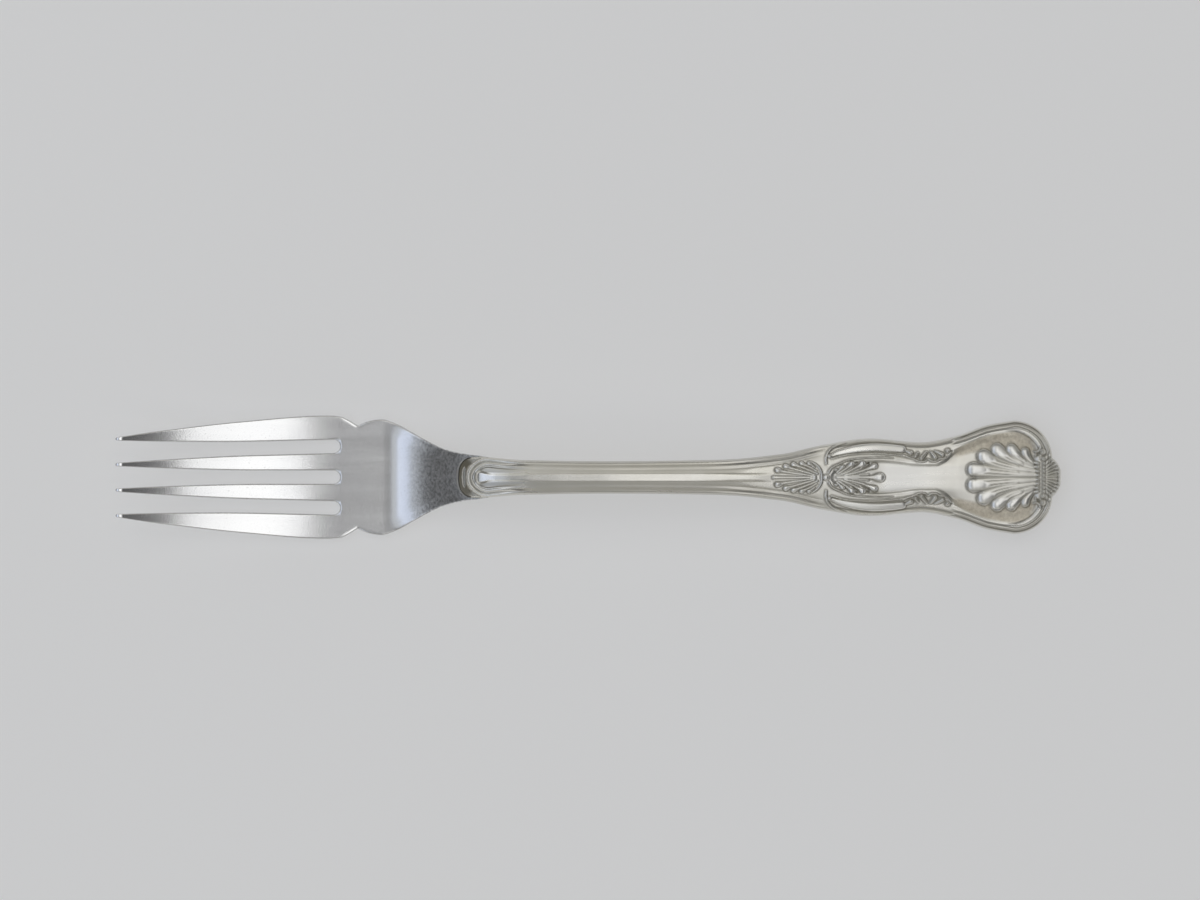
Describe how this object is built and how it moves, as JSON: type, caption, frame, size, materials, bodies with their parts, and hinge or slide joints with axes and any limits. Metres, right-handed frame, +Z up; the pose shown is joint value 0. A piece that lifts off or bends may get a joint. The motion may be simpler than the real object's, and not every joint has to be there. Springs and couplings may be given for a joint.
{
  "type": "fork",
  "caption": "Long table fork with notched shoulders, a narrow throat and a filled handle struck with a shell, scroll and thread pattern.",
  "frame": {"origin": "middle of the fork's length and width, on the table that it rests on", "axes": "+X along the fork towards the end of the handle, +Y across it, +Z up, with the hollow side of the tines facing up"},
  "size_m": [0.185, 0.0244, 0.0124],
  "materials": {
    "head_silver": "polished",
    "handle_silver": "polished",
    "cement": "matte",
    "solder": "satin"
  },
  "bodies": {
    "root": {"fork_head": "head_silver", "handle_front_shell": "handle_silver", "handle_back_shell": "handle_silver", "handle_filling": "cement", "seam_solder": "solder", "mouth_solder": "solder"}
  },
  "joints": []
}
